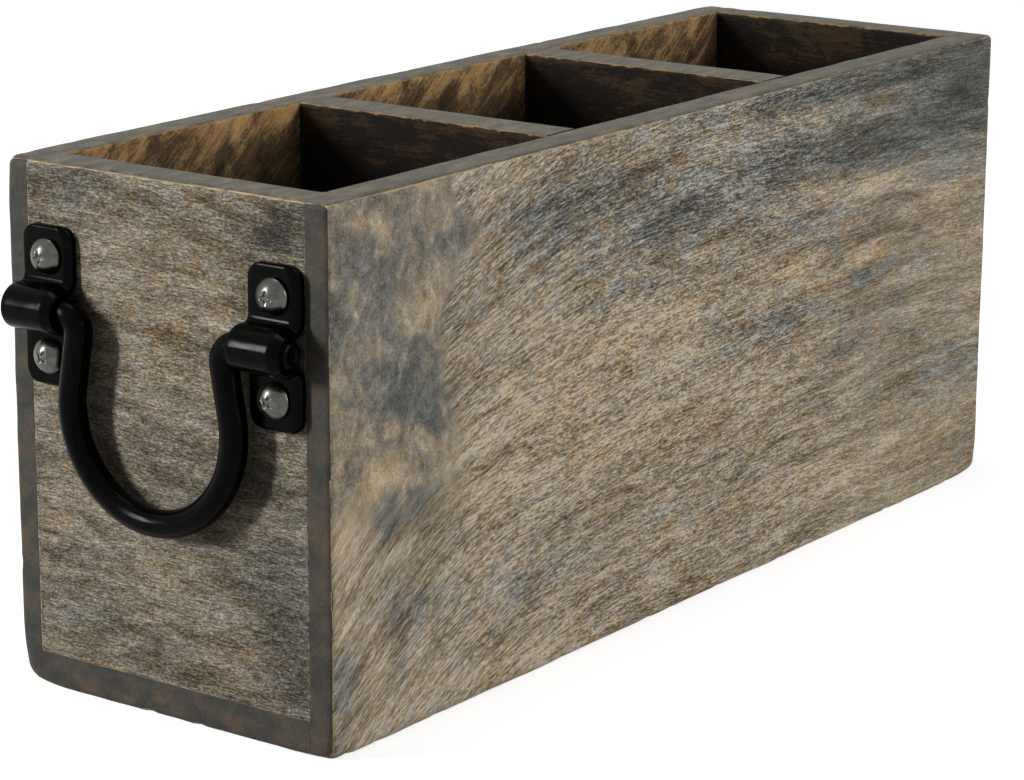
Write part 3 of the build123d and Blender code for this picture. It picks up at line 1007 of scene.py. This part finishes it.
half = strap_half_width - strap_corner + quarter(to_foot, strap_corner)
front_face = strap_thickness / 2 - arris + quarter(to_foot, arris)
front_count, side_count, back_count = 5, 9, 3    # points of a front corner, a side, a back corner
front_corner = np.linspace(0, np.pi / 2, front_count)
side_share = np.linspace(1, -1, side_count + 2)[1:-1]
share = np.r_[np.ones(front_count), side_share, -np.ones(front_count + back_count), -side_share,
              np.ones(back_count)]
turn = np.r_[front_corner, np.full(side_count, np.pi / 2), front_corner + np.pi / 2,
             np.linspace(np.pi, 1.5 * np.pi, back_count), np.full(side_count, 1.5 * np.pi),
             np.linspace(1.5 * np.pi, 2 * np.pi, back_count)]
soft = np.where(np.sin(turn) > -1e-9, arris, back_arris)
# The second front corner begins with the back's arris: the face slopes down to a thin lip there.
second_corner = front_count + side_count
soft[second_corner:second_corner + back_count] = soft[-back_count:] = back_arris
across = share * (half[:, None] - soft) + soft * np.cos(turn)
base = np.where(soft == arris, front_face[:, None] - arris, -strap_thickness / 2 + back_arris)
lift = base + soft * np.sin(turn)
pole = np.zeros((1, across.shape[1]))
across = np.concatenate([pole, across, pole])
lift = np.concatenate([pole, lift, pole])
ends = np.r_[0, np.arange(len(travel)), len(travel) - 1]
stations, headings = middle_line[ends], headings[ends]
outward = np.stack([np.sin(headings), -np.cos(headings)], axis=1)[:, None, :]
flat_shape = stations[:, None, :] + lift[..., None] * outward    # out from the wall, and up

for end_name, end in (("left", -1), ("right", 1)):
    for side_name, side in (("front", -1), ("back", 1)):
        grid = np.stack([end * (half_length + flat_shape[..., 0]), side * strap_centre + across,
                         pivot_z + flat_shape[..., 1]], axis=-1)
        hammered = 0.05 * mm * (1 + uneven(grid.reshape(-1, 3), 5, 41)).reshape(across.shape)
        pressed = np.where(lift > 0, hammered, 0)[..., None] * outward
        grid[..., 0] -= end * pressed[..., 0]
        grid[..., 2] -= pressed[..., 1]
        points, faces = close_tube(grid)
        node = f"{end_name}_{side_name}_strap"
        new_piece(f"{node}_iron", points, faces, "box", node, "black_iron", (black_coat,))
print("a strap is", round(travel[-1] / mm, 1), "mm long before it is bent")

# %% [markdown]
# ## The screws
#
# Eight round-head screws hold the straps. A lathe makes the whole screw from one profile: every
# ring is the profile turned by an angle. The cross in the head is not cut. The points of the dome
# that lie under its two arms are pushed down instead, most in the middle. No two screws stopped
# at the same angle.

# %% Turn the screws
screw_low, screw_high = part_box("left_front_upper_screw")
screw_spacing = screw_high[2] + screw_low[2] - 2 * pivot_z
head_radius = (screw_high[2] - screw_low[2]) / 2
head_top = -half_length - screw_low[0]
head_base = strap_thickness
head_rim = 0.7 * mm
shank_radius, tip_reach, tip_length = 2.5 * mm, screw_high[0] + half_length, 4.0 * mm
dome_height = head_top - head_base - head_rim
dome_radius = (head_radius**2 + dome_height**2) / (2 * dome_height)
dome_rings = np.linspace(head_radius, 0, 34)
dome = head_top - dome_radius + np.sqrt(dome_radius**2 - dome_rings**2)
profile = np.concatenate([
    [(-tip_reach, 0), (-tip_reach, 0.2 * mm), (-tip_reach + tip_length, shank_radius),
     (head_base, shank_radius), (head_base, head_radius - 0.3 * mm),
     (head_base + 0.1 * mm, head_radius - 0.08 * mm), (head_base + 0.3 * mm, head_radius)],
    np.stack([dome, dome_rings], axis=1)])
angle = np.linspace(0, 2 * np.pi, 72, endpoint=False)
along, reach = np.tile(profile[:, :1], len(angle)), profile[:, 1:]
flat_y, flat_z = reach * np.cos(angle), reach * np.sin(angle)


def arm(a, b):
    """1 in one arm of the cross, with sloping walls, and shallower towards its tips."""
    return (1 - rise(np.abs(a), 0.3 * mm, 0.65 * mm)) * (1 - rise(np.abs(b), 1.0 * mm, 2.3 * mm))


recess_depth = 0.7 * mm
recess = recess_depth * np.maximum(arm(flat_y, flat_z), arm(flat_z, flat_y))
recess *= along > head_base + head_rim
turns = np.random.default_rng(8).uniform(0, np.pi / 2, 8)
names = [(end, side, level) for end in (-1, 1) for side in (-1, 1) for level in (-1, 1)]
for (end, side, level), turn in zip(names, turns):
    y = flat_y * np.cos(turn) - flat_z * np.sin(turn)
    z = flat_y * np.sin(turn) + flat_z * np.cos(turn)
    grid = np.stack([end * (half_length + along - recess), side * strap_centre + y,
                     pivot_z + level * screw_spacing / 2 + z], axis=-1)
    points, faces = close_tube(grid)
    node = "_".join((("left", "right")[end > 0], ("front", "back")[side > 0],
                     ("lower", "upper")[level > 0], "screw"))
    new_piece(f"{node}_steel", points, faces, "box", node, "nickel_screw", (bright_steel,))
print("screws", len(names), "with heads", round(2 * head_radius / mm, 1), "mm across")
